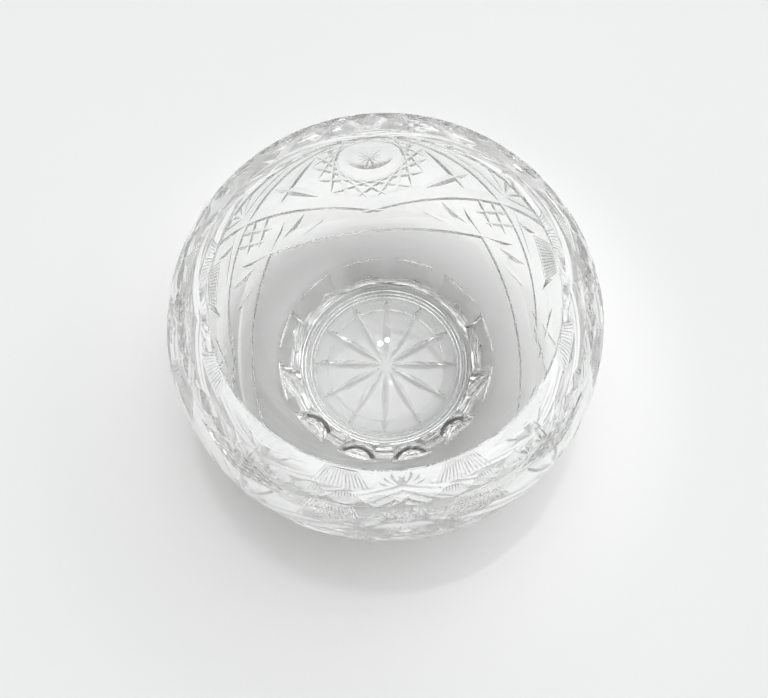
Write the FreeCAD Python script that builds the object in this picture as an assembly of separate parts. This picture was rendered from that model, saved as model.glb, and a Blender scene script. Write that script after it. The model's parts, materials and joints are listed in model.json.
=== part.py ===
"""Cut crystal rose bowl: a blown body with a cut wall, and the low pad foot fused under it.

Millimetres and degrees, +Z up, origin on the standing plane under the centre of the foot. The foot stands on
z = 0 and the body stands face to face on the foot. Both are bodies of revolution, and then every cut is made
as the glass cutter makes it: with a rounded wheel for flutes and scallops, and with a V-edged mitre wheel for
lines and stars.
"""
import FreeCAD, Part
import math
import os

V = FreeCAD.Vector
ORIGIN = V(0, 0, 0)
UP = V(0, 0, 1)

# The body, with heights above the top of the foot.
BODY_DIAMETER = 160.0        # outside, at the widest level
WIDEST_HEIGHT = 53.5         # of the widest level
BODY_HEIGHT = 84.0           # of the flat rim
RIM_INSET = 9.3              # from the widest radius in to the sharp outside edge of the rim
RIM_WIDTH = 10.5             # of the flat rim, before it is scalloped
LIP_CHAMFER = 0.6            # polished edge inside the mouth
WALL = 7.5                   # at the widest level
FLOOR = 5.0                  # glass between the inside floor and the foot
COLLAR_HEIGHT = 9.7          # of the level where the flutes begin
COLLAR_OVERHANG = 8.5        # of that level beyond the neck

# The foot, with heights above the standing plane.
FOOT_HEIGHT = 6.0
NECK_DIAMETER = 75.0         # of the joint between foot and body
NECK_HOLLOW = 0.9            # sag of the cove above the joint
FOOT_HOLLOW = 0.3            # sag of the cove below it
FOOT_OVERHANG = 3.0          # of the points of the foot beyond the neck
FOOT_EDGE = 1.2              # upright edge between its rounded underside and its cove
FOOT_ROUNDING = 2.6          # height of the rounded underside
FOOT_ROUNDING_BOW = 0.65     # how far it bulges from a plain bevel
FOOT_ROUNDING_WIDTH = 7.0    # from the points of the foot in to the standing ring
STANDING_RING = 7.0          # width of the flat ring that the bowl stands on
RECESS_DEPTH = 0.8           # of the polished hollow inside the standing ring

# Scallops around the rim: shallow gouge cuts across its outside edge, meeting in points.
RIM_SCALLOPS = 38
SCALLOP_DEPTH = 1.15         # of each cut below the sharp edge
SCALLOP_TURN = 2.8           # of the middle of the first cut, from +X
GOUGE_REACH = 12.0           # length of the gouge to each side of the edge

# Flutes around the collar, and scallops around the foot.
FLUTES = 12
FLUTE_LAND = 5.5             # uncut glass between two flutes
FLUTE_LENGTH = 10.0          # down the slope of the collar
FLUTE_WHEEL_RADIUS = 30.0
FOOT_SCALLOP_DEPTH = 0.5     # behind a straight line between two points of the foot
FOOT_TURN = 8.0              # of the first point of the foot, from +X
BASE_TURN = -2.0             # of the first land between two flutes and the first ray of the star

# The star under the foot, one wheel cut for each ray.
STAR_RAYS = 12
STAR_DEPTH = 1.1             # of a ray below the recess
STAR_WHEEL_RADIUS = 80.0
STAR_HALF_ANGLE = 58.0       # between the middle plane and a flank of the wheel
RAY_CENTRE = 14.0            # deepest place of a ray, from the axis
RAY_REACH = 36.0             # length of the wheel's edge that is used, from the axis

# The long mitre lines on the wall. Each lies in a tilted plane through the middle of the body at the widest
# level. Beyond the corners of the panels, where the arch lines cross, each has a thinner line above it.
PANELS = 4
PANEL_TURN = 4.0             # of the first panel's middle, from +X
MITRE_DEPTH = 1.5
MITRE_HALF_ANGLE = 56.0
STAND_OFF = 1.5              # height of a V cutter above the glass
LEAF_OVERRUN = 1.06          # length of a leaf's cutter for its length on the wall
ARCH_SLOPE = 0.54            # tangent of the tilt of an arch line's plane
ARCH_LOW_ANGLE = 26.0        # from the middle of a panel to the lowest place of the plane
ARCH_SPAN = (-5.0, 92.0)     # ends of an arch line, from the middle of the panel
BAND_SLOPE = 0.64            # the same three for the band line under a panel
BAND_LOW_ANGLE = 0.0
BAND_SPAN = (-57.0, 57.0)
UPPER_ARCH_LIFT = 4.6        # of the thinner line's plane above the arch line's
UPPER_ARCH_SPAN = (44.5, 92.0)
UPPER_ARCH_DEPTH = 1.0
LINE_STEPS = 16              # spans of the curve along a line

# The round hollow button in the middle of each panel. Every other panel is a star panel, with a hobstar around
# the button: points on a circle, each joined by a straight line to the one some places on.
BUTTON_DROP = 7.0            # of its middle below the widest level
BUTTON_DIAMETER = 21.0
BUTTON_DEPTH = 2.3
HOBSTAR_POINTS = 16
HOBSTAR_SKIP = 5             # points from one end of a line to the other
HOBSTAR_RADIUS = 25.0
HOBSTAR_DEPTH = 0.75         # of a line halfway

# Leaf-shaped cuts, each with a mirrored twin. A place is given in degrees on the ball that the wall is a
# flattened copy of: along the widest level from the middle of a panel or a corner, and up from that level.
LEAF_DEPTH = 1.3             # of a leaf halfway
STAR_PANEL_LEAVES = (((16.5, 1.0), (32.5, -19.5)), ((17.0, -27.0), (32.0, -8.0)))
LEAF_PANEL_LEAVES = (((41.0, -13.0), (16.5, -30.0)), ((40.0, -18.0), (30.0, -14.0)),
                     ((14.0, -30.5), (15.0, -20.0)), ((10.0, -36.5), (-7.0, -26.5)))
RAY_DEPTH = 1.0              # of a ray at a corner, halfway
CORNER_RAYS = (((3.0, -34.5), (19.5, -29.5)), ((4.0, -37.5), (25.5, -35.5)))
GRID_DEPTH = 0.75            # of a line of the grid in the lozenge below a corner, halfway
CORNER_GRID = (((-5.0, -15.5), (8.6, -28.5)), ((-9.6, -17.9), (4.0, -30.9)))

# The fan of rays above each corner, where two arches cross.
FAN_RAYS = 5
FAN_SPREAD = 120.0           # from its first ray to its last
FAN_MIDDLE = -10.5           # latitude of the point that the rays come from
FAN_START = (1.5, 2.5)       # half axes of the oval that the rays start on, in degrees along and up the wall
FAN_END = (19.0, 27.0)       # the same for the one that they end on

# Levels above the standing plane, and radii.
WIDEST_Z = FOOT_HEIGHT + WIDEST_HEIGHT
RIM_Z = FOOT_HEIGHT + BODY_HEIGHT
FLOOR_Z = FOOT_HEIGHT + FLOOR
COLLAR_Z = FOOT_HEIGHT + COLLAR_HEIGHT
BODY_RADIUS = BODY_DIAMETER / 2
INSIDE_RADIUS = BODY_RADIUS - WALL
RIM_RADIUS = BODY_RADIUS - RIM_INSET
MOUTH_RADIUS = RIM_RADIUS - RIM_WIDTH
NECK_RADIUS = NECK_DIAMETER / 2
COLLAR_RADIUS = NECK_RADIUS + COLLAR_OVERHANG
FOOT_RADIUS = NECK_RADIUS + FOOT_OVERHANG
STANDING_RADIUS = FOOT_RADIUS - FOOT_ROUNDING_WIDTH
RECESS_RADIUS = STANDING_RADIUS - STANDING_RING


def half_axis(radius, edge_radius, rise):
    """Vertical half axis of an ellipse, widest at a radius, that is as wide as its edge after a rise."""
    return rise / math.sqrt(1 - (edge_radius / radius) ** 2)


UPPER_HALF = half_axis(BODY_RADIUS, RIM_RADIUS, RIM_Z - WIDEST_Z)
LOWER_HALF = half_axis(BODY_RADIUS, COLLAR_RADIUS, WIDEST_Z - COLLAR_Z)
UPPER_INSIDE_HALF = half_axis(INSIDE_RADIUS, MOUTH_RADIUS, RIM_Z - LIP_CHAMFER - WIDEST_Z)
LOWER_INSIDE_HALF = WIDEST_Z - FLOOR_Z


def point(radius, height, degrees=0.0):
    """Point at a radius and height, turned about the axis of the bowl."""
    turn = math.radians(degrees)
    return V(radius * math.cos(turn), radius * math.sin(turn), height)


def all_round(shape, count, first=0.0):
    """Copies of a shape, evenly spaced about the axis of the bowl."""
    copies = []
    for i in range(count):
        copy = shape.copy()
        copy.rotate(ORIGIN, UP, first + 360.0 * i / count)
        copies.append(copy)
    return copies


def straight(start, end):
    return Part.LineSegment(start, end).toShape()


def bowed(start, end, sag):
    """Arc between two points of an outline, bowed to the left of the way from start to end."""
    along = (end - start).normalize()
    left = V(-along.z, 0, along.x)
    return Part.Arc(start, (start + end) * 0.5 + left * sag, end).toShape()


def wall_curve(radius, half, end_radius, spans=8):
    """Quarter of the wall's outline, from the widest level up (half > 0) or down to where it is end_radius."""
    last = math.acos(end_radius / radius)
    points = [point(radius * math.cos(last * i / spans), WIDEST_Z + half * math.sin(last * i / spans))
              for i in range(spans + 1)]
    curve = Part.BSplineCurve()
    curve.interpolate(points)
    return curve.toShape()


def revolved(edges):
    """Solid of revolution of a closed outline in the XZ plane."""
    return Part.Face(Part.Wire(edges)).revolve(ORIGIN, UP, 360)


def body_blank():
    """The blown body before it is cut, standing on the foot."""
    foot_centre, neck = point(0, FOOT_HEIGHT), point(NECK_RADIUS, FOOT_HEIGHT)
    collar = point(COLLAR_RADIUS, COLLAR_Z)
    rim, rim_inside = point(RIM_RADIUS, RIM_Z), point(MOUTH_RADIUS + LIP_CHAMFER, RIM_Z)
    lip, floor_centre = point(MOUTH_RADIUS, RIM_Z - LIP_CHAMFER), point(0, FLOOR_Z)
    return revolved([
        straight(foot_centre, neck),
        bowed(neck, collar, NECK_HOLLOW),
        wall_curve(BODY_RADIUS, -LOWER_HALF, COLLAR_RADIUS),
        wall_curve(BODY_RADIUS, UPPER_HALF, RIM_RADIUS),
        straight(rim, rim_inside),
        straight(rim_inside, lip),
        wall_curve(INSIDE_RADIUS, UPPER_INSIDE_HALF, MOUTH_RADIUS),
        wall_curve(INSIDE_RADIUS, -LOWER_INSIDE_HALF, 0),
        straight(floor_centre, foot_centre)])


def foot_blank():
    """The pad foot before it is cut, with its polished recess."""
    recess_centre, recess_edge = point(0, RECESS_DEPTH), point(RECESS_RADIUS, RECESS_DEPTH)
    ring_inside, ring_outside = point(RECESS_RADIUS, 0), point(STANDING_RADIUS, 0)
    edge_bottom = point(FOOT_RADIUS, FOOT_ROUNDING)
    edge_top = point(FOOT_RADIUS, FOOT_ROUNDING + FOOT_EDGE)
    neck, top_centre = point(NECK_RADIUS, FOOT_HEIGHT), point(0, FOOT_HEIGHT)
    return revolved([
        straight(recess_centre, recess_edge),
        straight(recess_edge, ring_inside),
        straight(ring_inside, ring_outside),
        bowed(ring_outside, edge_bottom, -FOOT_ROUNDING_BOW),
        straight(edge_bottom, edge_top),
        bowed(edge_top, neck, FOOT_HOLLOW),
        straight(neck, top_centre),
        straight(top_centre, recess_centre)])


def on_wall(azimuth, latitude):
    """Point of the outside wall at a latitude of the ball that the wall is a flattened copy of."""
    rise = math.radians(latitude)
    half = UPPER_HALF if latitude > 0 else LOWER_HALF
    return point(BODY_RADIUS * math.cos(rise), WIDEST_Z + half * math.sin(rise), azimuth)


def wall_slope(place):
    """Outward direction at a place on the wall, as long as the ellipse's equation makes it."""
    half = UPPER_HALF if place.z > WIDEST_Z else LOWER_HALF
    return V(place.x / BODY_RADIUS ** 2, place.y / BODY_RADIUS ** 2, (place.z - WIDEST_Z) / half ** 2)


def dropped(place, direction):
    """Point of the outside wall under a place, along a direction."""
    for _ in range(8):
        slope = wall_slope(place)
        off = slope.dot(place - point(0, WIDEST_Z)) - 1
        place = place - direction * (off / (2 * slope.dot(direction)))
    return place


def rim_scallops():
    """Gouge cuts across the sharp outside edge of the rim, square to the line that halves the edge."""
    edge = point(RIM_RADIUS, RIM_Z)
    out = (wall_slope(edge).normalize() + UP).normalize()
    down = V(out.z, 0, -out.x)
    half_pitch = math.pi / RIM_SCALLOPS
    half_chord = RIM_RADIUS * math.sin(half_pitch)
    sag = SCALLOP_DEPTH - RIM_RADIUS * (1 - math.cos(half_pitch)) * out.x
    radius = (half_chord ** 2 + sag ** 2) / (2 * sag)
    start = edge + out * (radius - SCALLOP_DEPTH) - down * GOUGE_REACH
    return all_round(Part.makeCylinder(radius, 2 * GOUGE_REACH, start, down), RIM_SCALLOPS, SCALLOP_TURN)


def collar_flutes():
    """Hollow flutes down the collar, with a land of uncut glass between them. The belt that they are cut in is
    round, so the top of each flute follows the ring around the collar."""
    neck, collar = point(NECK_RADIUS, FOOT_HEIGHT), point(COLLAR_RADIUS, COLLAR_Z)
    down = (neck - collar).normalize()
    out = V(-down.z, 0, down.x)
    half_width = math.pi * COLLAR_RADIUS / FLUTES - FLUTE_LAND / 2
    depth = half_width ** 2 / 2 * (out.x / COLLAR_RADIUS + 1 / FLUTE_WHEEL_RADIUS)
    start = collar + out * (FLUTE_WHEEL_RADIUS - depth) - down * FLUTE_LENGTH
    rod = Part.makeCylinder(FLUTE_WHEEL_RADIUS, 3 * FLUTE_LENGTH, start, down)
    corners = [collar - out * 2 * depth, collar + out * FLUTE_WHEEL_RADIUS]
    corners += [corner + down * FLUTE_LENGTH for corner in reversed(corners)]
    belt = revolved([straight(a, b) for a, b in zip(corners, corners[1:] + corners[:1])])
    return all_round(rod.common(belt), FLUTES, 180.0 / FLUTES + BASE_TURN)


def foot_scallops():
    """Upright hollow cuts that leave the edge of the foot with one point for each flute."""
    half_pitch = math.pi / FLUTES
    half_chord = FOOT_RADIUS * math.sin(half_pitch)
    radius = (half_chord ** 2 + FOOT_SCALLOP_DEPTH ** 2) / (2 * FOOT_SCALLOP_DEPTH)
    axis = point(FOOT_RADIUS * math.cos(half_pitch) - FOOT_SCALLOP_DEPTH + radius, -1.0)
    return all_round(Part.makeCylinder(radius, FOOT_HEIGHT + 2.0, axis), FLUTES,
                     FOOT_TURN + 180.0 / FLUTES)


def star_rays():
    """Mitre wheel cuts for the star under the foot: two cones base to base, with only the edge used."""
    edge_height = 2 * (STAR_DEPTH + RECESS_DEPTH)
    half_width = edge_height * math.tan(math.radians(STAR_HALF_ANGLE))
    top = RECESS_DEPTH + STAR_DEPTH
    centre = point(RAY_CENTRE, top - STAR_WHEEL_RADIUS)
    cones = [Part.makeCone(STAR_WHEEL_RADIUS, STAR_WHEEL_RADIUS - edge_height, half_width, centre, side)
             for side in (V(0, 1, 0), V(0, -1, 0))]
    used = Part.makeBox(RAY_REACH, 2 * half_width, edge_height, V(0, -half_width, top - edge_height))
    return all_round(cones[0].fuse(cones[1]).common(used), STAR_RAYS, BASE_TURN)


def wall_point(slope, low_angle, lift, degrees):
    """Point of the outside wall on a tilted plane that passes a lift above the middle of the body."""
    rise = -slope * math.cos(math.radians(degrees - low_angle))
    level = V(0, 0, WIDEST_Z + lift)
    spoke = point(1, rise, degrees)
    return dropped(level + spoke * BODY_RADIUS, spoke)


def mitre_line(slope, low_angle, span, mirrored=False, lift=0.0, depth=MITRE_DEPTH):
    """Cutter for one long mitre line: a V swept along the line where its plane cuts the wall."""
    first, last = span
    turns = [first + (last - first) * i / LINE_STEPS for i in range(LINE_STEPS + 1)]
    points = [wall_point(slope, low_angle, lift, turn) for turn in turns]
    low = math.radians(low_angle)
    normal = V(slope * math.cos(low), slope * math.sin(low), 1).normalize()
    curve = Part.BSplineCurve()
    curve.interpolate(points)
    path = Part.Wire(curve.toShape())
    along = (points[1] - points[0]).normalize()
    out = along.cross(normal).normalize()
    half_width = (depth + STAND_OFF) * math.tan(math.radians(MITRE_HALF_ANGLE))
    tip = points[0] - out * depth
    sides = [points[0] + out * STAND_OFF + normal * side * half_width for side in (1, -1)]
    section = Part.makePolygon([tip, sides[0], sides[1], tip])
    sweep = Part.BRepOffsetAPI.MakePipeShell(path)
    sweep.setBiNormalMode(normal)
    sweep.add(section)
    sweep.build()
    sweep.makeSolid()
    cutter = Part.Solid(sweep.shape())
    return cutter.mirror(ORIGIN, V(0, 1, 0)) if mirrored else cutter


def mitre_rounds():
    """Arch lines that cross at the corners of the panels, lines above them, and the bands under the panels."""
    for mirrored in (False, True):
        plane = ARCH_SLOPE, -ARCH_LOW_ANGLE
        yield all_round(mitre_line(*plane, ARCH_SPAN, mirrored), PANELS, PANEL_TURN)
        upper = mitre_line(*plane, UPPER_ARCH_SPAN, mirrored, UPPER_ARCH_LIFT, UPPER_ARCH_DEPTH)
        yield all_round(upper, PANELS, PANEL_TURN)
    bands = all_round(mitre_line(BAND_SLOPE, BAND_LOW_ANGLE, BAND_SPAN), PANELS, PANEL_TURN)
    yield bands[0::2]
    yield bands[1::2]


def leaf_cut(start, end, depth):
    """Cutter for a straight leaf-shaped line on the wall: a V turned about an axis across the line, so that
    its tip runs from one end to the other in an arc that dips to the depth halfway."""
    middle, along = (start + end) * 0.5, (end - start).normalize()
    out = wall_slope(middle)
    out = (out - along * out.dot(along)).normalize()
    side = along.cross(out)
    bottom = dropped(middle, out) - out * depth
    half_length = (end - start).Length / 2 * LEAF_OVERRUN
    bulge = (bottom - middle).dot(out) * LEAF_OVERRUN ** 2
    radius = (half_length ** 2 + bulge ** 2) / (2 * bulge)
    centre = bottom - out * radius
    height = depth + STAND_OFF
    spread = side * height * math.tan(math.radians(MITRE_HALF_ANGLE))
    top = bottom + out * height
    section = Part.Face(Part.makePolygon([bottom, top + spread, top - spread, bottom]))
    half_turn = math.degrees(math.asin(half_length / abs(radius)))
    section.rotate(centre, side, -half_turn)
    return section.revolve(centre, side, 2 * half_turn)


def button_place():
    """Middle of the button on the panel at +X, and the wall's outward direction there."""
    edge_radius = BODY_RADIUS * math.sqrt(1 - (BUTTON_DROP / LOWER_HALF) ** 2)
    middle = point(edge_radius, WIDEST_Z - BUTTON_DROP)
    return middle, wall_slope(middle).normalize()


def buttons():
    """Balls that hollow the button in the middle of each panel."""
    middle, out = button_place()
    ball_radius = 1 / (2 * BUTTON_DEPTH / (BUTTON_DIAMETER / 2) ** 2 - 1 / BODY_RADIUS)
    ball = Part.makeSphere(ball_radius, middle + out * (ball_radius - BUTTON_DEPTH))
    return all_round(ball, PANELS, PANEL_TURN)


def star_point(index):
    """Point of a star on the panel at +X, set out on a plane that touches the wall and dropped onto it."""
    middle, out = button_place()
    side, turn = V(0, 1, 0), math.radians(-90 + 360.0 * index / HOBSTAR_POINTS)
    spoke = side * math.cos(turn) + out.cross(side) * math.sin(turn)
    return dropped(middle + spoke * HOBSTAR_RADIUS, out)


def on_star_panels(cutter):
    return all_round(cutter, PANELS // 2, PANEL_TURN + 360.0 / PANELS)


def on_leaf_panels(cutter):
    return all_round(cutter, PANELS // 2, PANEL_TURN)


def at_corners(cutter):
    return all_round(cutter, PANELS, PANEL_TURN + 180.0 / PANELS)


def leaf_between(start, end, depth, sign=1):
    """Leaf cutter between two places in degrees, or its twin on the other side of the middle."""
    places = [on_wall(along * sign, up) for along, up in (start, end)]
    return leaf_cut(*places, depth)


def hobstar_rounds():
    """Lines of the stars, each with the one across the star, which it doesn't cross."""
    across = math.ceil(HOBSTAR_POINTS / 2)
    for first in range(across):
        lines = [leaf_cut(star_point(i), star_point(i + HOBSTAR_SKIP), HOBSTAR_DEPTH)
                 for i in range(first, HOBSTAR_POINTS, across)]
        yield [cutter for line in lines for cutter in on_star_panels(line)]


def leaf_rounds():
    """Leaves of the panels, then the grid and rays at the corners. Twins are cut apart, because some cross."""
    for sign in (1, -1):
        for leaf in STAR_PANEL_LEAVES:
            yield on_star_panels(leaf_between(*leaf, LEAF_DEPTH, sign))
        for leaf in LEAF_PANEL_LEAVES:
            yield on_leaf_panels(leaf_between(*leaf, LEAF_DEPTH, sign))
        for lines, depth in ((CORNER_GRID, GRID_DEPTH), (CORNER_RAYS, RAY_DEPTH)):
            yield [cutter for line in lines for cutter in at_corners(leaf_between(*line, depth, sign))]


def fan_rounds():
    """Rays of the fans above the corners, every other one at a time."""
    turns = [math.radians(FAN_SPREAD * (i / (FAN_RAYS - 1) - 0.5)) for i in range(FAN_RAYS)]
    rays = [leaf_between(*[(oval[0] * math.sin(turn), FAN_MIDDLE + oval[1] * math.cos(turn))
                           for oval in (FAN_START, FAN_END)], RAY_DEPTH) for turn in turns]
    for first in (0, 1):
        yield [cutter for ray in rays[first::2] for cutter in at_corners(ray)]


def cut_bowl():
    """The body with all its cuts, in rounds of cutters that don't cross one another, as on the wheel."""
    bowl = body_blank()
    for cutters in (*mitre_rounds(), collar_flutes(), rim_scallops(), *hobstar_rounds(), *leaf_rounds(),
                    *fan_rounds(), buttons()):
        bowl = bowl.cut(cutters)
    return bowl


PIECES = {
    "bowl": cut_bowl(),
    "foot": foot_blank().cut(foot_scallops()).cut(star_rays()),
}

os.makedirs("parts", exist_ok=True)
for name, shape in PIECES.items():
    shape.exportStep(f"parts/{name}.step")
    print(name, shape.isValid(), len(shape.Solids), round(shape.Volume / 1000, 1), "cm3")
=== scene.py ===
# %% [markdown]
# # A cut glass rose bowl
# The imported model is a fixed frame: a thick, nearly round bowl and the low foot fused under it. It is loaded
# first. Nothing made here may change the size of the object.

# %% The frame
import json
import math
import bpy
import bmesh
from mathutils import Matrix, Vector
from mathutils.bvhtree import BVHTree
from mathutils.interpolate import poly_3d_calc

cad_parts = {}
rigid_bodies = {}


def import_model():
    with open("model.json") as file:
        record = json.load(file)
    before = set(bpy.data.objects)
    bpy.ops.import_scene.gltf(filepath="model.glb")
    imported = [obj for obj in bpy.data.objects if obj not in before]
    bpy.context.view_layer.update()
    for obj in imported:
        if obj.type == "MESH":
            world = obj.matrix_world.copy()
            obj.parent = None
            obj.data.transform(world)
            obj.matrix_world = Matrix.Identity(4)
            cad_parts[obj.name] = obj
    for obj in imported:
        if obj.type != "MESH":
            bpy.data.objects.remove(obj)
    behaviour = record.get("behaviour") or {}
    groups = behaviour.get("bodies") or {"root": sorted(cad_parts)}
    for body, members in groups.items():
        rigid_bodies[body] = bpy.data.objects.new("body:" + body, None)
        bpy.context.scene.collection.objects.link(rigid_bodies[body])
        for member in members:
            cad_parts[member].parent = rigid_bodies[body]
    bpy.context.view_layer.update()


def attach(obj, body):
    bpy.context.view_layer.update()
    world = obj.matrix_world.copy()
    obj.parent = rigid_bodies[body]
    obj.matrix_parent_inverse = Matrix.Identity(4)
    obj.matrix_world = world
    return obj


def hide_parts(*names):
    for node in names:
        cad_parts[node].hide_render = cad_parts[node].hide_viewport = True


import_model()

scene = bpy.context.scene

# %% [markdown]
# Everything is drawn in millimetres, the unit that a glass cutter works in, and is scaled to metres once at
# the end. These are the main sizes of the bowl. The two halves of the wall, above and below the widest level,
# are parts of flattened balls, and so are the two halves of the inside.

# %% Main sizes
WIDEST_RADIUS, WIDEST_Z, RIM_Z = 80.0, 59.5, 90.0
RIM_RADIUS, MOUTH_RADIUS, LIP = 70.7, 60.2, 0.6
INSIDE_RADIUS, FLOOR_Z = 72.5, 11.0
COLLAR_RADIUS, COLLAR_Z = 46.0, 15.7
NECK_RADIUS, FOOT_TOP = 37.5, 6.0
FOOT_RADIUS, STANDING_RADIUS, RECESS_RADIUS, RECESS_DEPTH = 40.5, 33.5, 26.5, 0.8
FOOT_ROUNDING, FOOT_EDGE = 2.6, 3.8  # levels between which the edge of the foot stands upright
ROUNDING_BOW, FOOT_COVE, NECK_COVE = -0.65, 0.3, 0.9  # sag of the curves of foot and neck


def half_axis(radius, edge_radius, rise):
    """Upright half axis of an ellipse that is as wide as its edge after a rise."""
    return rise / math.sqrt(1 - (edge_radius / radius) ** 2)


UPPER_HALF = half_axis(WIDEST_RADIUS, RIM_RADIUS, RIM_Z - WIDEST_Z)
LOWER_HALF = half_axis(WIDEST_RADIUS, COLLAR_RADIUS, WIDEST_Z - COLLAR_Z)
UPPER_INSIDE = half_axis(INSIDE_RADIUS, MOUTH_RADIUS, RIM_Z - LIP - WIDEST_Z)
LOWER_INSIDE = WIDEST_Z - FLOOR_Z
print("half axes", round(UPPER_HALF, 2), round(LOWER_HALF, 2))

# %% [markdown]
# ## The blank
# A glassmaker blows the bowl as a smooth blank, fuses the foot to it while both are hot, and hands it to the
# cutter. The blank is a body of revolution, so its outline is drawn from a single vertex: Extrude makes the
# straight runs and Spin the curved ones, and one more Spin about the upright axis makes the body. One closed
# mesh for bowl and foot matters here, because where they are fused light passes as if nothing were there.

# %% Outline tools
def last_vertex(outline):
    outline.verts.ensure_lookup_table()
    return outline.verts[-1]


def straight_to(outline, radius, height):
    """Extrudes the outline's last vertex to a new place."""
    grown = bmesh.ops.extrude_vert_indiv(outline, verts=[last_vertex(outline)])
    grown["verts"][0].co = Vector((radius, 0, height))


def bow_to(outline, radius, height, sag, steps):
    """Spins the last vertex along an arc that bows to the left of its way."""
    start, end = last_vertex(outline).co.copy(), Vector((radius, 0, height))
    along = (end - start).normalized()
    left = Vector((-along.z, 0, along.x))
    half_chord = (end - start).length / 2
    arc_radius = (half_chord ** 2 + sag ** 2) / (2 * abs(sag))
    side = math.copysign(1, sag)
    centre = (start + end) / 2 + left * side * (abs(sag) - arc_radius)
    bmesh.ops.spin(outline, geom=[last_vertex(outline)], cent=centre, axis=(0, side, 0),
                   angle=2 * math.asin(half_chord / arc_radius), steps=steps)


def wall_to(outline, wide_radius, half, first, last, steps):
    """Spins a quarter of the wall as part of a circle, and flattens it to its ellipse."""
    middle = Vector((0, 0, WIDEST_Z))
    start = last_vertex(outline)
    true_place = start.co.copy()
    start.co = middle + Vector((wide_radius * math.cos(first), 0, wide_radius * math.sin(first)))
    before = set(outline.verts)
    bmesh.ops.spin(outline, geom=[start], cent=middle, axis=(0, -math.copysign(1, last - first), 0),
                   angle=abs(last - first), steps=steps)
    bmesh.ops.scale(outline, vec=(1, 1, half / wide_radius), space=Matrix.Translation(-middle),
                    verts=[v for v in outline.verts if v not in before])
    start.co = true_place


# %% The blank of bowl and foot
RING_STEPS = 252


def blank_outline():
    """Outline of foot, wall and inside, from the middle of the underside to the middle of the floor."""
    outline = bmesh.new()
    outline.verts.new((0, 0, RECESS_DEPTH))
    straight_to(outline, RECESS_RADIUS * 0.5, RECESS_DEPTH)
    straight_to(outline, RECESS_RADIUS, RECESS_DEPTH)
    straight_to(outline, RECESS_RADIUS, 0)
    straight_to(outline, STANDING_RADIUS, 0)
    bow_to(outline, FOOT_RADIUS, FOOT_ROUNDING, ROUNDING_BOW, 7)
    straight_to(outline, FOOT_RADIUS, FOOT_EDGE)
    bow_to(outline, NECK_RADIUS, FOOT_TOP, FOOT_COVE, 4)
    bow_to(outline, COLLAR_RADIUS, COLLAR_Z, NECK_COVE, 7)
    wall_to(outline, WIDEST_RADIUS, LOWER_HALF, -math.acos(COLLAR_RADIUS / WIDEST_RADIUS), 0, 26)
    wall_to(outline, WIDEST_RADIUS, UPPER_HALF, 0, math.acos(RIM_RADIUS / WIDEST_RADIUS), 14)
    straight_to(outline, (RIM_RADIUS + MOUTH_RADIUS) / 2, RIM_Z)
    straight_to(outline, MOUTH_RADIUS + LIP, RIM_Z)
    straight_to(outline, MOUTH_RADIUS, RIM_Z - LIP)
    wall_to(outline, INSIDE_RADIUS, UPPER_INSIDE, math.acos(MOUTH_RADIUS / INSIDE_RADIUS), 0, 12)
    wall_to(outline, INSIDE_RADIUS, LOWER_INSIDE, 0, -math.pi / 2, 30)
    return outline


blank = blank_outline()
bmesh.ops.spin(blank, geom=blank.verts[:] + blank.edges[:], cent=(0, 0, 0), axis=(0, 0, 1),
               angle=math.tau, steps=RING_STEPS, use_merge=True)
bmesh.ops.remove_doubles(blank, verts=blank.verts, dist=1e-4)
bmesh.ops.recalc_face_normals(blank, faces=blank.faces)
open_edges = sum(len(e.link_faces) != 2 for e in blank.edges)
volume = round(blank.calc_volume() / 1000, 1)
print("blank:", len(blank.faces), "faces,", open_edges, "open edges,", volume, "cm3")


# %% Objects from meshes
def smooth_object(name, bm, collection, sharp=30):
    """Object of a bmesh, shaded smooth except at edges sharper than an angle."""
    mesh = bpy.data.meshes.new(name)
    bm.to_mesh(mesh)
    bm.free()
    mesh.shade_smooth()
    mesh.set_sharp_from_angle(angle=math.radians(sharp))
    made = bpy.data.objects.new(name, mesh)
    collection.objects.link(made)
    return made


blank_object = smooth_object("blank", blank, scene.collection)

# %% [markdown]
# ## The wall as the cutter sees it
# The pattern is laid out on the wall before any cutting. A place on it is given by its azimuth and by the
# latitude on the ball that the wall is a flattened copy of, so 0 is the widest level.

# %% Places on the wall
def half_at(height):
    """Upright half axis of the part of the wall at a height."""
    return UPPER_HALF if height > WIDEST_Z else LOWER_HALF


def on_wall(azimuth, latitude):
    """Place on the wall, from degrees round the bowl and up from its widest level."""
    turn, rise = math.radians(azimuth), math.radians(latitude)
    half = UPPER_HALF if latitude > 0 else LOWER_HALF
    radius = WIDEST_RADIUS * math.cos(rise)
    return Vector((radius * math.cos(turn), radius * math.sin(turn), WIDEST_Z + half * math.sin(rise)))


def wall_normal(place):
    """Outward direction of the wall at a place on it."""
    return Vector((place.x / WIDEST_RADIUS ** 2, place.y / WIDEST_RADIUS ** 2,
                   (place.z - WIDEST_Z) / half_at(place.z) ** 2)).normalized()


def drop_on_wall(place, direction):
    """Slides a place along a direction until it lies on the wall."""
    for _ in range(8):
        half = half_at(place.z)
        off = (place.x ** 2 + place.y ** 2) / WIDEST_RADIUS ** 2 + (place.z - WIDEST_Z) ** 2 / half ** 2 - 1
        slope = 2 * (place.x * direction.x + place.y * direction.y) / WIDEST_RADIUS ** 2
        slope += 2 * (place.z - WIDEST_Z) * direction.z / half ** 2
        place = place - direction * (off / slope)
    return place


# %% [markdown]
# ## Cutters
# Every line on cut glass is a groove from a wheel with a V-shaped edge. Its tool starts as one triangle, with
# the tip at the bottom of the groove, and Extrude carries it from station to station. A cut that dips in and
# comes out again along its way has the pointed leaf shape of a wheel cut. One mesh serves all the panels:
# each tool is copied round the bowl by turning its object.

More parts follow.
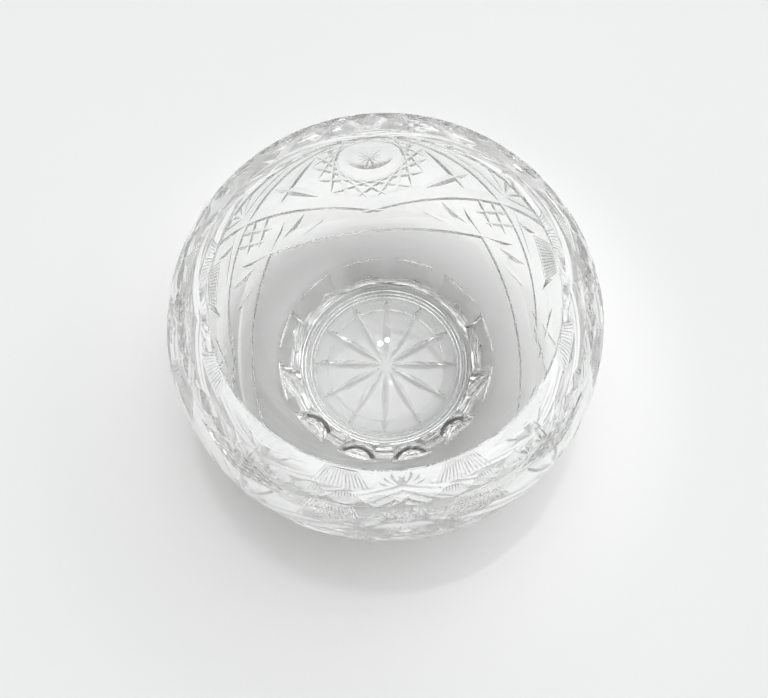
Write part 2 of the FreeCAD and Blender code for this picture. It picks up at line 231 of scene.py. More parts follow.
# %% Groove cutters
tools = bpy.data.collections.new("tools")
scene.collection.children.link(tools)
PANELS, PANEL_TURN = 4, 4.0
ALL_PANELS = [PANEL_TURN + 90 * k for k in range(PANELS)]


def place_tool(name, bm, turns, sharp=30):
    """Object for each turn of a tool about the bowl's axis."""
    bmesh.ops.recalc_face_normals(bm, faces=bm.faces)
    first = smooth_object(name, bm, tools, sharp)
    for turn in turns[1:]:
        copy = first.copy()
        tools.objects.link(copy)
        copy.matrix_world = Matrix.Rotation(math.radians(turn), 4, "Z")
    first.matrix_world = Matrix.Rotation(math.radians(turns[0]), 4, "Z")


MITRE_ANGLE = 62.0  # between the middle of the V and a flank
OVERRUN = 0.06      # share of a leaf's length that its tool goes on past each end


def groove(name, stations, turns, half_angle=MITRE_ANGLE, height=3.0):
    """V groove through stations of (bottom, outward direction, sideways direction)."""
    places = []
    for bottom, out, side in stations:
        rows = Matrix((out, side, out.cross(side))).transposed().to_4x4()
        rows.translation = bottom
        places.append(rows)
    width = height * math.tan(math.radians(half_angle))
    bm = bmesh.new()
    corners = ((0, 0, 0), (height, width, 0), (height, -width, 0))
    bm.faces.new([bm.verts.new(places[0] @ Vector(corner)) for corner in corners])
    edges = bm.edges[:]
    for before, after in zip(places, places[1:]):
        grown = bmesh.ops.extrude_edge_only(bm, edges=edges)["geom"]
        edges = [g for g in grown if isinstance(g, bmesh.types.BMEdge)]
        ends = [g for g in grown if isinstance(g, bmesh.types.BMVert)]
        bmesh.ops.transform(bm, matrix=after @ before.inverted(), verts=ends)
    bmesh.ops.contextual_create(bm, geom=edges)
    place_tool(name, bm, turns)


def wheel_cut(name, start, end, depth, turns, peak=0.5, half_angle=MITRE_ANGLE, steps=10, extra=None,
              taper=None):
    """Cut from one place on the wall to another: a leaf, deepest at a share of its way, or with a taper an
    even line that only runs out at its ends."""
    middle = (start + end) / 2
    out = wall_normal(drop_on_wall(middle, wall_normal(middle)))
    side = (end - start).cross(out).normalized()
    stations = []
    for i in range(steps + 1):
        share = -OVERRUN + (1 + 2 * OVERRUN) * i / steps
        place = drop_on_wall(start.lerp(end, share), out)
        here = wall_normal(place)
        here = (here - side * here.dot(side)).normalized()
        reach = peak if share < peak else 1 - peak
        dip = depth * (1 - ((share - peak) / reach) ** 2)
        if taper:
            dip = depth * (1 - (1 - min(1.0, share / taper, (1 - share) / taper)) ** 2)
        if extra:
            dip += extra(place)
        stations.append((place - here * dip, here, side))
    groove(name, stations, turns, half_angle, max(depth, 0.4) + 1.2)


# %% [markdown]
# ## Arches and bands
# Two long mitre lines run up from the bottom of each panel, cross at its corners and go on to the top of the
# next panel, and a third one hangs below each panel. Each lies in a tilted plane, so it is a slice through
# the wall. Above the corners the arches are doubled by a thinner line beside them.

# %% Long lines
ARCH_SLOPE, ARCH_LOW, BAND_SLOPE = 0.54, 26.0, 0.64
LINE_DEPTH, THIN_DEPTH, THIN_LIFT = 1.5, 1.0, 4.6


def slice_place(slope, low, lift, azimuth):
    """Place where a tilted plane meets the wall at an azimuth."""
    rise = -slope * math.cos(math.radians(azimuth - low))
    radius = WIDEST_RADIUS
    for _ in range(12):
        height = rise * radius + lift
        half = UPPER_HALF if height > 0 else LOWER_HALF
        radius = WIDEST_RADIUS * math.sqrt(max(0.0, 1 - (height / half) ** 2)) * 0.5 + radius * 0.5
    turn = math.radians(azimuth)
    return Vector((radius * math.cos(turn), radius * math.sin(turn), WIDEST_Z + rise * radius + lift))


def long_line(name, slope, low, span, depth, lift=0.0, steps=36, taper=0.05):
    """Groove along a slice of the wall, running out at both ends."""
    turn = math.radians(low)
    side = Vector((slope * math.cos(turn), slope * math.sin(turn), 1)).normalized()
    stations = []
    for i in range(steps + 1):
        share = i / steps
        place = slice_place(slope, low, lift, span[0] + (span[1] - span[0]) * share)
        out = wall_normal(place)
        out = (out - side * out.dot(side)).normalized()
        ease = min(1.0, share / taper, (1 - share) / taper)
        dip = depth * (1 - (1 - ease) ** 2) - 0.25 * (1 - ease) ** 2
        stations.append((place - out * dip, out, side))
    groove(name, stations, ALL_PANELS, height=depth + 1.5)


for sign in (1, -1):
    long_line("arch", ARCH_SLOPE, -ARCH_LOW * sign, (-5 * sign, 92 * sign), LINE_DEPTH)
    long_line("upper_arch", ARCH_SLOPE, -ARCH_LOW * sign, (44.5 * sign, 92 * sign), THIN_DEPTH,
              lift=THIN_LIFT, taper=0.12)
long_line("band", BAND_SLOPE, 0, (-57, 57), LINE_DEPTH)

# %% [markdown]
# ## The star and its button
# The panels hold a hobstar: sixteen points on a circle, each joined by a straight cut to the one five places
# on. Between the crossings little pointed pieces of the old surface are left. In the middle is a round hollow
# with a small twelve-rayed star. The lines are ruled on a plane that touches the wall and dropped onto it.

# %% Stars
BUTTON_RADIUS, BUTTON_DEPTH, BUTTON_DROP = 10.5, 2.3, 7.0


def star_plane():
    """Middle of the star on the panel at azimuth 0, with its outward, sideways and upward directions."""
    middle = on_wall(0, -math.degrees(math.asin(BUTTON_DROP / LOWER_HALF)))
    out = wall_normal(middle)
    side = Vector((0, 1, 0))
    return middle, out, side, out.cross(side)


def ruled(distance, degrees):
    """Place on the wall under a point of the star's plane; 0 degrees is sideways and 90 is up."""
    middle, out, side, up = star_plane()
    turn = math.radians(degrees)
    return drop_on_wall(middle + side * distance * math.cos(turn) + up * distance * math.sin(turn), out)


def hobstar(turns, radius, depth, first=-90.0, points=16, skip=5):
    """Lines from each point on a circle to the one some places on."""
    for i in range(points):
        start = first + 360 * i / points
        wheel_cut("star_line", ruled(radius, start), ruled(radius, start + 360 * skip / points), depth, turns,
                  steps=24, taper=0.16)


def button(turns):
    """Ball that leaves a round hollow, and six crossing lines that make a star on its floor."""
    middle, out, side, up = star_plane()
    ball = 1 / (2 * BUTTON_DEPTH / BUTTON_RADIUS ** 2 - 1 / WIDEST_RADIUS)
    bm = bmesh.new()
    bmesh.ops.create_uvsphere(bm, u_segments=144, v_segments=72, radius=ball,
                              matrix=Matrix.Translation(middle + out * (ball - BUTTON_DEPTH))
                              @ out.to_track_quat("Z", "Y").to_matrix().to_4x4())
    place_tool("button", bm, turns, sharp=60)
    for i in range(6):
        angle = 15 + 30 * i
        wheel_cut("button_ray", ruled(6.0, angle), ruled(6.0, angle + 180), 0.35, turns,
                  extra=lambda place: BUTTON_DEPTH * (1 - ((place - middle).length / BUTTON_RADIUS) ** 2))


STAR_PANELS = [ALL_PANELS[1], ALL_PANELS[3]]
LEAF_PANELS = [ALL_PANELS[0], ALL_PANELS[2]]
hobstar(STAR_PANELS, 25.0, 0.72)
hobstar(LEAF_PANELS, 15.0, 0.5)
button(ALL_PANELS)

# %% [markdown]
# ## Crossed leaves
# On each side of a star two leaf-shaped cuts cross. They are longer towards the middle of the panel, and
# widest just before the crossing. The other two panels have longer ones, set lower, with a cross at the
# bottom.

# %% Crosses
def mirrored_cut(name, start, end, depth, turns, peak=0.5):
    """Leaf between two places given by azimuth and latitude, and its mirror image in the panel."""
    for sign in (1, -1):
        wheel_cut(name, on_wall(start[0] * sign, start[1]), on_wall(end[0] * sign, end[1]), depth, turns,
                  peak)


mirrored_cut("cross", (16.5, 1), (32.5, -19.5), 1.3, STAR_PANELS, 0.6)
mirrored_cut("cross", (17, -27), (32, -8), 1.3, STAR_PANELS, 0.6)
mirrored_cut("leaf", (41, -13), (16.5, -30), 1.3, LEAF_PANELS, 0.5)
mirrored_cut("leaf_cross", (40, -18), (30, -14), 1.2, LEAF_PANELS, 0.62)
mirrored_cut("leaf_end", (14, -30.5), (15, -20), 1.2, LEAF_PANELS, 0.6)
mirrored_cut("low_cross", (10, -36.5), (-7, -26.5), 1.2, LEAF_PANELS, 0.5)

# %% [markdown]
# ## Corners and fans
# Where the arches cross, the lozenge between arches and bands is filled with a grid of short cuts. Two rays
# run from its bottom corner into each panel beside it, and a fan of rays opens above the crossing. A smaller
# fan stands under the rim over the middle of each panel.

# %% Corner grids, rays and fans
CORNERS = [turn + 45 for turn in ALL_PANELS]
for sign in (1, -1):
    for shift in (0, 1):
        wheel_cut("corner_grid", on_wall(sign * (-5.0 - 4.6 * shift), -15.5 - 2.4 * shift),
                  on_wall(sign * (8.6 - 4.6 * shift), -28.5 - 2.4 * shift), 0.75, CORNERS, taper=0.3)
    wheel_cut("corner_ray", on_wall(3.0 * sign, -34.5), on_wall(19.5 * sign, -29.5), 1.1, CORNERS, 0.6)
    wheel_cut("corner_ray", on_wall(4.0 * sign, -37.5), on_wall(25.5 * sign, -35.5), 1.1, CORNERS, 0.6)


def fan(name, rays, latitude, inner, outer, depth, turns, peak):
    """Rays at angles from upright, from a small oval to a large one round a point on the wall."""
    for degrees in rays:
        lean = math.radians(degrees)
        start, end = (on_wall(wide * math.sin(lean), latitude + high * math.cos(lean))
                      for wide, high in (inner, outer))
        wheel_cut(name, start, end, depth, turns, peak)


fan("corner_fan", (-60, -32, 0, 32, 60), -10.5, (1.5, 2.5), (19, 27), 1.0, CORNERS, 0.55)
fan("top_fan", (-66, -44, -22, 0, 22, 44, 66), 17.5, (0.8, 0), (8, 9), 1.0, ALL_PANELS, 0.6)

# %% [markdown]
# ## Fine hatching
# Beside each long leaf, and beside each fan under the rim, is a patch of fine crossed lines, and above each
# corner a lozenge of coarser ones. They are real grooves, only smaller and closer, from a sharper wheel.

# %% Hatched patches
def between(first, second, share):
    """Azimuth and latitude at a share of the way between two places."""
    return (first[0] + (second[0] - first[0]) * share, first[1] + (second[1] - first[1]) * share)


HATCH_ANGLE = 50.0


def hatch(corners, counts, turns, depth=0.36, signs=(1, -1)):
    """Lines both ways over a patch with four corners, given in order round it."""
    a, b, c, d = corners
    for (first, second), count in zip((((a, b), (d, c)), ((a, d), (b, c))), counts):
        for i in range(count):
            share = (i + 0.5) / count
            start, end = between(*first, share), between(*second, share)
            for sign in signs:
                wheel_cut("hatch", on_wall(start[0] * sign, start[1]), on_wall(end[0] * sign, end[1]), depth,
                          turns, half_angle=HATCH_ANGLE, taper=0.2)


hatch(((31, -16), (16, -25.5), (15.5, -15), (24, -9)), (14, 9), LEAF_PANELS)
hatch(((9, 14.5), (28, 13), (24, 25.5), (13, 25.5)), (14, 10), ALL_PANELS)
hatch(((-17, 22), (0, 16.5), (17, 22), (0, 27)), (6, 6), CORNERS, 0.6, (1,))

# %% [markdown]
# ## Rim, collar, foot and base
# The rim is scalloped with a rounded wheel held across its sharp edge, the collar has twelve hollow flutes
# and the foot twelve shallow hollows. These tools are cylinders, and a flute's is cut to a belt around the
# collar, so that it ends in a clean round edge. The star under the foot comes from a large wheel with a V
# edge: part of one is made by spinning its section about the wheel's own axis.

# %% Round wheels
def rod(name, radius, start, direction, length, turns, segments=128):
    """Cylinder from a place along a direction."""
    bm = bmesh.new()
    pose = Matrix.Translation(start + direction * length / 2)
    pose = pose @ direction.to_track_quat("Z", "Y").to_matrix().to_4x4()
    bmesh.ops.create_cone(bm, cap_ends=True, segments=segments, radius1=radius, radius2=radius, depth=length,
                          matrix=pose)
    place_tool(name, bm, turns, sharp=40)


def around(count, first):
    """Azimuths of tools that are evenly spaced round the bowl."""
    return [first + 360 * i / count for i in range(count)]


# %% Rim scallops
RIM_SCALLOPS, SCALLOP_DEPTH, SCALLOP_TURN, GOUGE_REACH = 38, 1.15, 2.8, 12
rim_edge = Vector((RIM_RADIUS, 0, RIM_Z))
edge_out = (wall_normal(rim_edge) + Vector((0, 0, 1))).normalized()
edge_down = Vector((edge_out.z, 0, -edge_out.x))
half_pitch = math.pi / RIM_SCALLOPS
sag = SCALLOP_DEPTH - RIM_RADIUS * (1 - math.cos(half_pitch)) * edge_out.x
gouge = ((RIM_RADIUS * math.sin(half_pitch)) ** 2 + sag ** 2) / (2 * sag)
rod("rim_gouge", gouge, rim_edge + edge_out * (gouge - SCALLOP_DEPTH) - edge_down * GOUGE_REACH, edge_down,
    2 * GOUGE_REACH, around(RIM_SCALLOPS, SCALLOP_TURN), 160)
print("rim: gouge radius", round(gouge, 1), "mm")

# %% Flutes and foot hollows
FLUTES, FLUTE_WHEEL, FLUTE_LAND, FLUTE_LENGTH = 12, 30.0, 5.5, 10.0
BASE_TURN, FOOT_TURN, FOOT_HOLLOW = -2.0, 8.0, 0.5
BELT_INSIDE, BELT_OUTSIDE = 4, 8  # reach of the belt from the collar into the glass and out of it
neck, collar = Vector((NECK_RADIUS, 0, FOOT_TOP)), Vector((COLLAR_RADIUS, 0, COLLAR_Z))
flute_down = (neck - collar).normalized()
flute_out = Vector((-flute_down.z, 0, flute_down.x))
flute_half = math.pi * COLLAR_RADIUS / FLUTES - FLUTE_LAND / 2
flute_depth = flute_half ** 2 / 2 * (flute_out.x / COLLAR_RADIUS + 1 / FLUTE_WHEEL)


def flute():
    """Part of a cylinder inside a belt around the collar, whose round edge is the top of the flutes."""
    belt = bmesh.new()
    corners = [collar - flute_out * BELT_INSIDE, collar + flute_out * BELT_OUTSIDE]
    corners += [corner + flute_down * FLUTE_LENGTH for corner in reversed(corners)]
    section = bmesh.ops.contextual_create(belt, geom=[belt.verts.new(c) for c in corners])
    bmesh.ops.spin(belt, geom=belt.verts[:] + belt.edges[:], cent=(0, 0, 0), axis=(0, 0, 1), angle=math.tau,
                   steps=720, use_merge=True)
    bmesh.ops.delete(belt, geom=section["faces"], context="FACES_ONLY")
    bmesh.ops.remove_doubles(belt, verts=belt.verts, dist=1e-4)
    bmesh.ops.recalc_face_normals(belt, faces=belt.faces)
    belt_object = smooth_object("belt", belt, scene.collection)
    wheel = bmesh.new()
    start = collar + flute_out * (FLUTE_WHEEL - flute_depth) - flute_down * FLUTE_LENGTH
    pose = flute_down.to_track_quat("Z", "Y").to_matrix().to_4x4()
    bmesh.ops.create_cone(wheel, cap_ends=True, segments=240, radius1=FLUTE_WHEEL, radius2=FLUTE_WHEEL,
                          depth=3 * FLUTE_LENGTH,
                          matrix=Matrix.Translation(start + flute_down * 1.5 * FLUTE_LENGTH) @ pose)
    wheel_object = smooth_object("wheel", wheel, scene.collection)
    within = wheel_object.modifiers.new("within_belt", "BOOLEAN")
    within.operation, within.solver, within.object = "INTERSECT", "MANIFOLD", belt_object
    made = bmesh.new()
    made.from_object(wheel_object, bpy.context.evaluated_depsgraph_get())
    bpy.data.objects.remove(belt_object)
    bpy.data.objects.remove(wheel_object)
    place_tool("flute", made, around(FLUTES, 15 + BASE_TURN), sharp=40)


flute()

foot_half = FOOT_RADIUS * math.sin(math.pi / FLUTES)
foot_wheel = (foot_half ** 2 + FOOT_HOLLOW ** 2) / (2 * FOOT_HOLLOW)
foot_axis = FOOT_RADIUS * math.cos(math.pi / FLUTES) - FOOT_HOLLOW + foot_wheel
rod("foot_hollow", foot_wheel, Vector((foot_axis, 0, -1)), Vector((0, 0, 1)), 8,
    around(FLUTES, FOOT_TURN + 15), 400)
print("flutes:", round(flute_depth, 2), "mm deep")

# %% Star under the foot
STAR_WHEEL, STAR_ANGLE, STAR_RAYS = 80.0, 61.0, 12
RAY_CENTRE, RAY_TOP, SECTION_HEIGHT = 15.5, 1.9, 3.8
WHEEL_START, WHEEL_ARC = -11.5, 30  # part of the wheel that is made, in degrees


def base_star():
    """Arc of the wheel's V edge for each ray, deepest at the ray's centre."""
    bm = bmesh.new()
    width = SECTION_HEIGHT * math.tan(math.radians(STAR_ANGLE))
    corners = ((0, 0), (width, SECTION_HEIGHT), (-width, SECTION_HEIGHT))
    section = [bm.verts.new((RAY_CENTRE, y, RAY_TOP - drop)) for y, drop in corners]
    face = bm.faces.new(section)
    wheel_centre = (RAY_CENTRE, 0, RAY_TOP - STAR_WHEEL)
    bmesh.ops.rotate(bm, verts=section, cent=wheel_centre,
                     matrix=Matrix.Rotation(math.radians(WHEEL_START), 3, "Y"))
    bmesh.ops.spin(bm, geom=section + [face] + bm.edges[:], cent=wheel_centre, axis=(0, 1, 0),
                   angle=math.radians(WHEEL_ARC), steps=30)
    place_tool("base_ray", bm, around(STAR_RAYS, BASE_TURN))


base_star()

# %% [markdown]
# ## Cutting
# One Boolean takes the whole collection of tools away from the blank. The Manifold solver is made for closed
# meshes like these, and works through hundreds of crossing tools in seconds.

# %% Cut the glass
cut = blank_object.modifiers.new("cutting", "BOOLEAN")
cut.operation, cut.solver, cut.operand_type, cut.collection = "DIFFERENCE", "MANIFOLD", "COLLECTION", tools
depsgraph = bpy.context.evaluated_depsgraph_get()
glass_mesh = bpy.data.meshes.new_from_object(blank_object.evaluated_get(depsgraph))
blank_object.modifiers.clear()
glass_mesh.name = "cut_glass"
glass_mesh.materials.clear()
print("cut:", len(glass_mesh.polygons), "faces")

# %% [markdown]
# ## Smooth and sharp
# Glass shows every wrong normal, because it bends the light at each one. A Boolean leaves large and small
# faces of all shapes, so each corner of a face takes its normal from the smooth surface it was part of: the
# blank, or, where a tool has cut, the skin of that tool turned round. The edges between them stay sharp. Cuts
# from the collar up to just above the widest level get the satin finish, and the others are polished.

# %% Surfaces to take normals from
SAME_PLACE, SAME_WAY = 0.02, 0.985  # farthest away, and least cosine between the two normals


class Skin:
    """Faces with smooth corner normals that other faces can look up."""

    def __init__(self, objects, sign):
        self.places, self.faces, self.normals, self.flat = [], [], [], []
        for made in objects:
            base, mesh, matrix = len(self.places), made.data, made.matrix_world
            turn = matrix.to_3x3()
            self.places += [matrix @ v.co for v in mesh.vertices]
            corner = [turn @ n.vector * sign for n in mesh.corner_normals]
            for face in mesh.polygons:
                self.faces.append([base + v for v in face.vertices])
                self.normals.append([corner[i] for i in face.loop_indices])
                self.flat.append(turn @ face.normal * sign)
        self.tree = BVHTree.FromPolygons(self.places, self.faces)

    def face_under(self, place, normal):
        """Nearest face that looks the same way as a normal, or None."""
        best, best_distance = None, SAME_PLACE
        for _, _, index, distance in self.tree.find_nearest_range(place, SAME_PLACE):
            if distance < best_distance and self.flat[index].dot(normal) > SAME_WAY:
                best, best_distance = index, distance
        return best

    def normal_at(self, index, place):
        """Smooth normal of a face at a place on it."""
        weights = poly_3d_calc([self.places[v] for v in self.faces[index]], place)
        total = Vector((0, 0, 0))
        for weight, normal in zip(weights, self.normals[index]):
            total += normal * weight
        return total.normalized()


blank_skin = Skin([blank_object], 1)
tool_skin = Skin(tools.objects, -1)
print("skins:", len(blank_skin.faces), "and", len(tool_skin.faces), "faces")

# %% Normals of the cut glass
BLOWN, CUT = 0, 1
SATIN_TOP = WIDEST_Z + 3


def smooth_normals(mesh):
    """Corner normals from the skins, and the blown or cut finish of each face."""
    corners = [Vector((0, 0, 0))] * len(mesh.loops)
    lost = 0
    for face in mesh.polygons:
        skin, finish = blank_skin, BLOWN
        source = skin.face_under(face.center, face.normal)
        if source is None:
            skin = tool_skin
            source = skin.face_under(face.center, face.normal)
            finish = CUT if COLLAR_Z < face.center.z < SATIN_TOP else BLOWN
        lost += source is None
        face.material_index = finish
        for loop in face.loop_indices:
            place = mesh.vertices[mesh.loops[loop].vertex_index].co
            if source is None:
                corners[loop] = face.normal
                continue
            inner = place.lerp(face.center, 0.02)
            nearer = skin.face_under(inner, face.normal)
            corners[loop] = skin.normal_at(source if nearer is None else nearer, place)
            if corners[loop].dot(face.normal) < 0.5:
                corners[loop] = face.normal
    return corners, lost


normals, lost = smooth_normals(glass_mesh)
glass_mesh.transform(Matrix.Scale(0.001, 4))
glass_mesh.shade_smooth()
glass_mesh.normals_split_custom_set(normals)
cut_faces = sum(f.material_index == CUT for f in glass_mesh.polygons)
print("normals:", cut_faces, "satin faces,", lost, "faces kept flat")

# %% The finished piece
for made in tools.objects[:]:
    bpy.data.objects.remove(made)
bpy.data.collections.remove(tools)
bpy.data.objects.remove(blank_object)
bowl = bpy.data.objects.new("cut_glass_bowl", glass_mesh)
scene.collection.objects.link(bowl)
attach(bowl, "root")
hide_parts("bowl", "foot")
print("piece:", bowl.name, "with", len(glass_mesh.polygons), "faces")

# %% [markdown]
# ## Shader helpers
# A material is a graph of nodes. This small class wraps a socket, so that a mask can be written as a sum or
# a product, and one method adds any other node, with its settings first and its inputs after. An input is
# named by its label, or by i and its number where several share a label.

# %% Sockets as values
class Value:
    """Output socket that adds Math nodes when it is used in an expression."""

    def __init__(self, tree, socket=None):
        self.tree, self.socket = tree, socket

    def node(self, kind, output=0, settings=None, **inputs):
        """Adds a node to the tree, and gives one of its outputs."""
        made = self.tree.nodes.new(kind)
        for key, value in (settings or {}).items():
            setattr(made, key, value)
        for key, value in inputs.items():
            names = {s.name.replace(" ", "_"): s for s in reversed(made.inputs[:])}
            target = made.inputs[int(key[1:])] if key[0] == "i" and key[1:].isdigit() else names[key]
            if isinstance(value, Value):
                self.tree.links.new(value.socket, target)
            else:
                target.default_value = value
        return Value(self.tree, made.outputs[output])

    def math(self, operation, other=0.0, first=None):
        """Math node on this value and another, or on a given first one and this."""
        return self.node("ShaderNodeMath", settings={"operation": operation},
                         i0=self if first is None else first, i1=other)

    def __add__(self, other):
        return self.math("ADD", other)

    def __radd__(self, other):
        return self.math("ADD", other)

    def __mul__(self, other):
        return self.math("MULTIPLY", other)

    def __rmul__(self, other):
        return self.math("MULTIPLY", other)

    def __sub__(self, other):
        return self.math("SUBTRACT", other)

    def __rsub__(self, other):
        return self.math("SUBTRACT", self, first=other)

    def fade(self, low, high, first=0.0, last=1.0, smooth=False):
        """Map Range: the first value up to low, the last one from high on, and a ramp between them."""
        settings = {"interpolation_type": "SMOOTHSTEP"} if smooth else {}
        return self.node("ShaderNodeMapRange", settings=settings, Value=self, From_Min=low, From_Max=high,
                         To_Min=first, To_Max=last)

    def mix(self, first, last):
        """Colour between two others: the first where this value is 0, and the last where it is 1."""
        return self.node("ShaderNodeMix", output=2, settings={"data_type": "RGBA"}, i0=self, i6=first,
                         i7=last)

    def link(self, target):
        self.tree.links.new(self.socket, target)


def empty_tree(owner, output_kind):
    """Clears the nodes of a material or world. Gives the Surface input of its new output node, and a value
    without a socket to add nodes from."""
    owner.use_nodes = True
    owner.node_tree.nodes.clear()
    output = owner.node_tree.nodes.new(output_kind)
    return output.inputs["Surface"], Value(owner.node_tree)


# %% [markdown]
# ## Crystal
# Lead crystal is clear, with an index of about 1.54. What is seen is only what it bends and mirrors, so the
# finish lies in its surface. The blown skin has faint waves from the melt, and the satin cuts have a sheen
# from fine wheel marks. The underside of the foot has turned rings, and the ring that it stands on is dulled.
# The lengths are in metres here, because Object coordinates are.

# %% Crystal finishes
INDEX = 1.54
TINTS = (0.988, 0.992, 0.988, 1), (0.998, 0.999, 0.998, 1)
RING_PITCH, RING_HEIGHT = 0.0016, 0.00022
UNDERSIDE, RINGS_START = (0.004, 0.006), (0.0295, 0.0335)  # level and radius where the rings fade
WORN_LEVEL = (0.0001, 0.0006)


def crystal(name, wave, wave_scale, grain, base_rough):
    """Clear glass, from the height and closeness of its waves and from its roughness, even and in grains."""
    made = bpy.data.materials.new(name)
    surface, start = empty_tree(made, "ShaderNodeOutputMaterial")
    place = start.node("ShaderNodeTexCoord", output=3)
    height = start.node("ShaderNodeSeparateXYZ", output=2, Vector=place)
    flat_place = start.node("ShaderNodeVectorMath", settings={"operation": "MULTIPLY"}, i0=place,
                            i1=(1, 1, 0))
    away = start.node("ShaderNodeVectorMath", output=1, settings={"operation": "LENGTH"}, i0=flat_place)
    waves = start.node("ShaderNodeTexNoise", Vector=place, Scale=wave_scale, Detail=2.0, Roughness=0.5)
    fine = start.node("ShaderNodeTexNoise", Vector=place, Scale=2600.0, Detail=3.0, Roughness=0.6)
    scratches = start.node("ShaderNodeTexNoise", Vector=place, Scale=900.0, Detail=4.0, Roughness=0.7)
    worn = height.fade(*WORN_LEVEL, 1.0, 0.0)
    rough = base_rough + fine * grain + worn * (scratches * 0.35 + 0.05)
    underneath = height.fade(*UNDERSIDE, 1.0, 0.0)
    rings = (away * (math.tau / RING_PITCH)).math("SINE") * underneath * away.fade(*RINGS_START)
    waves_bump = start.node("ShaderNodeBump", Strength=1.0, Distance=wave, Height=waves)
    bump = start.node("ShaderNodeBump", Strength=1.0, Distance=RING_HEIGHT, Height=rings, Normal=waves_bump)
    glass = start.node("ShaderNodeBsdfPrincipled", Base_Color=waves.mix(*TINTS), Roughness=rough, IOR=INDEX,
                       Transmission_Weight=1.0, Normal=bump)
    glass.link(surface)
    return made


glass_mesh.materials.append(crystal("blown_crystal", 0.00006, 38.0, 0.01, 0.0))
glass_mesh.materials.append(crystal("cut_crystal", 0.00001, 300.0, 0.05, 0.19))
print("materials:", [m.name for m in glass_mesh.materials])

# %% [markdown]
# ## Table and light
# The bowl stands on a plain pale table in soft light. The floor lies a hair under the foot, so that the light
# which leaves the polished ring still reaches it. Below the bowl its colour is painted paler: a painted pool
# of the light that thick glass gathers there. The world is a room that is bright overhead and behind on the
# right, and dark low down and where somebody stands in front: clear glass only shows its form where it mirrors
# or bends something dark.
# Past the table the camera sees a plain pale backdrop. Two small lamps give the glints.

# %% Floor
TABLE_RADIUS, TABLE_GAP = 2.5, 0.0003
TABLE_SHADES = (0.827, 0.833, 0.833, 1), (0.867, 0.873, 0.873, 1)
# Painted light: the table's colour is painted paler under the bowl, and this fades out between these distances
# from the middle.
PAINTED_LIGHT_UNDER_BOWL, PAINTED_LIGHT_REACH = (0.97, 0.975, 0.97, 1), (0.08, 0.15)

floor_mesh = bpy.data.meshes.new("floor")
table = bmesh.new()
bmesh.ops.create_circle(table, cap_ends=True, segments=96, radius=TABLE_RADIUS,
                        matrix=Matrix.Translation((0, 0, -TABLE_GAP)))
table.to_mesh(floor_mesh)
table.free()
floor = bpy.data.objects.new("floor", floor_mesh)
scene.collection.objects.link(floor)

paper = bpy.data.materials.new("pale_table")
surface, start = empty_tree(paper, "ShaderNodeOutputMaterial")
place = start.node("ShaderNodeTexCoord", output=3)
clouds = start.node("ShaderNodeTexNoise", Vector=place, Scale=3.0, Detail=2.0)
away = start.node("ShaderNodeVectorMath", output=1, settings={"operation": "LENGTH"}, i0=place)
# Painted light: a mask that is 1 under the bowl and 0 farther out, which mixes in the paler painted colour.
painted_light_mask = away.fade(*PAINTED_LIGHT_REACH, 1.0, 0.0, smooth=True)
tone_and_painted_light = painted_light_mask.mix(clouds.mix(*TABLE_SHADES), PAINTED_LIGHT_UNDER_BOWL)
start.node("ShaderNodeBsdfPrincipled", Base_Color=tone_and_painted_light, Roughness=0.7).link(surface)
floor_mesh.materials.append(paper)
print("table:", 2 * TABLE_RADIUS, "m across")

# %% World
ROOM_DARK, ROOM_BRIGHT = (0.11, 0.105, 0.098, 1), (2.95, 2.97, 2.97, 1)
FIGURE, BACKDROP = (0.04, 0.04, 0.04, 1), (0.84, 0.845, 0.84, 1)
FIGURE_WAY = (0.0, -0.45, 0.893)

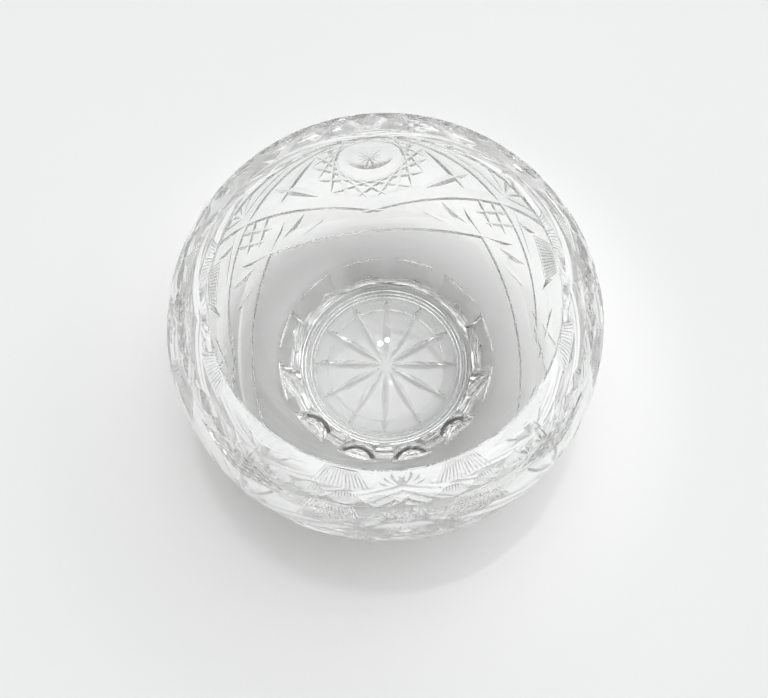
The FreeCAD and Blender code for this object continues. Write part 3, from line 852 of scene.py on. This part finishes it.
world = bpy.data.worlds.new("room")
scene.world = world
surface, start = empty_tree(world, "ShaderNodeOutputWorld")
direction = start.node("ShaderNodeTexCoord", output=0)
across, back, up = (start.node("ShaderNodeSeparateXYZ", output=i, Vector=direction) for i in range(3))
room = (up * 0.84 + back * 0.26 + across * 0.22).fade(0.58, 0.90, smooth=True).mix(ROOM_DARK, ROOM_BRIGHT)
facing = start.node("ShaderNodeVectorMath", output=1, settings={"operation": "DOT_PRODUCT"}, i0=direction,
                    i1=FIGURE_WAY)
surroundings = facing.fade(0.93, 0.972, smooth=True).mix(room, FIGURE)
camera_ray = start.node("ShaderNodeLightPath", output=0)
colour = camera_ray.mix(surroundings, BACKDROP)
start.node("ShaderNodeBackground", Color=colour, Strength=1.0).link(surface)
print("world:", len(world.node_tree.nodes), "nodes")

# %% Lamps
LAMP_SIZE, LAMP_AIM = 0.036, Vector((0, 0, 0.05))


def ceiling_lamp(name, place, power):
    """Small round lamp turned to the middle of the bowl."""
    data = bpy.data.lights.new(name, "AREA")
    data.shape, data.size, data.energy = "DISK", LAMP_SIZE, power
    made = bpy.data.objects.new(name, data)
    down = (LAMP_AIM - Vector(place)).to_track_quat("-Z", "Y")
    made.matrix_world = Matrix.Translation(place) @ down.to_matrix().to_4x4()
    scene.collection.objects.link(made)


ceiling_lamp("ceiling_first", (-0.01, 0.192, 1.25), 0.7)
ceiling_lamp("ceiling_second", (0.043, 0.223, 1.25), 0.65)

# %% [markdown]
# ## Camera
# The camera looks steeply down into the bowl from close by, which makes the near wall bulge and the far one
# open like a fan. Light is bent and mirrored many times in cut glass, so its paths may be long.

# %% Camera
ELEVATION, ROLL = math.radians(72.3), math.radians(1.06)
CAMERA_PLACE, LENS, LIGHT_BOUNCES = (-0.0007, -0.1065, 0.3614), 40.1, 24

camera_data = bpy.data.cameras.new("camera")
camera_data.lens, camera_data.sensor_width = LENS, 36.0
camera_data.clip_start, camera_data.clip_end = 0.01, 50.0
camera = bpy.data.objects.new("camera", camera_data)
forward = Vector((0, math.cos(ELEVATION), -math.sin(ELEVATION)))
level, upright = Vector((1, 0, 0)), Vector((0, math.sin(ELEVATION), math.cos(ELEVATION)))
right = level * math.cos(ROLL) - upright * math.sin(ROLL)
above = level * math.sin(ROLL) + upright * math.cos(ROLL)
pose = Matrix((right, above, -forward)).transposed().to_4x4()
pose.translation = CAMERA_PLACE
camera.matrix_world = pose
scene.collection.objects.link(camera)
scene.camera = camera
scene.view_settings.view_transform = "Standard"
scene.cycles.max_bounces = LIGHT_BOUNCES
scene.cycles.transmission_bounces = LIGHT_BOUNCES
scene.cycles.glossy_bounces = LIGHT_BOUNCES
print("camera:", LENS, "mm lens,", round(pose.translation.length, 2), "m from the foot")
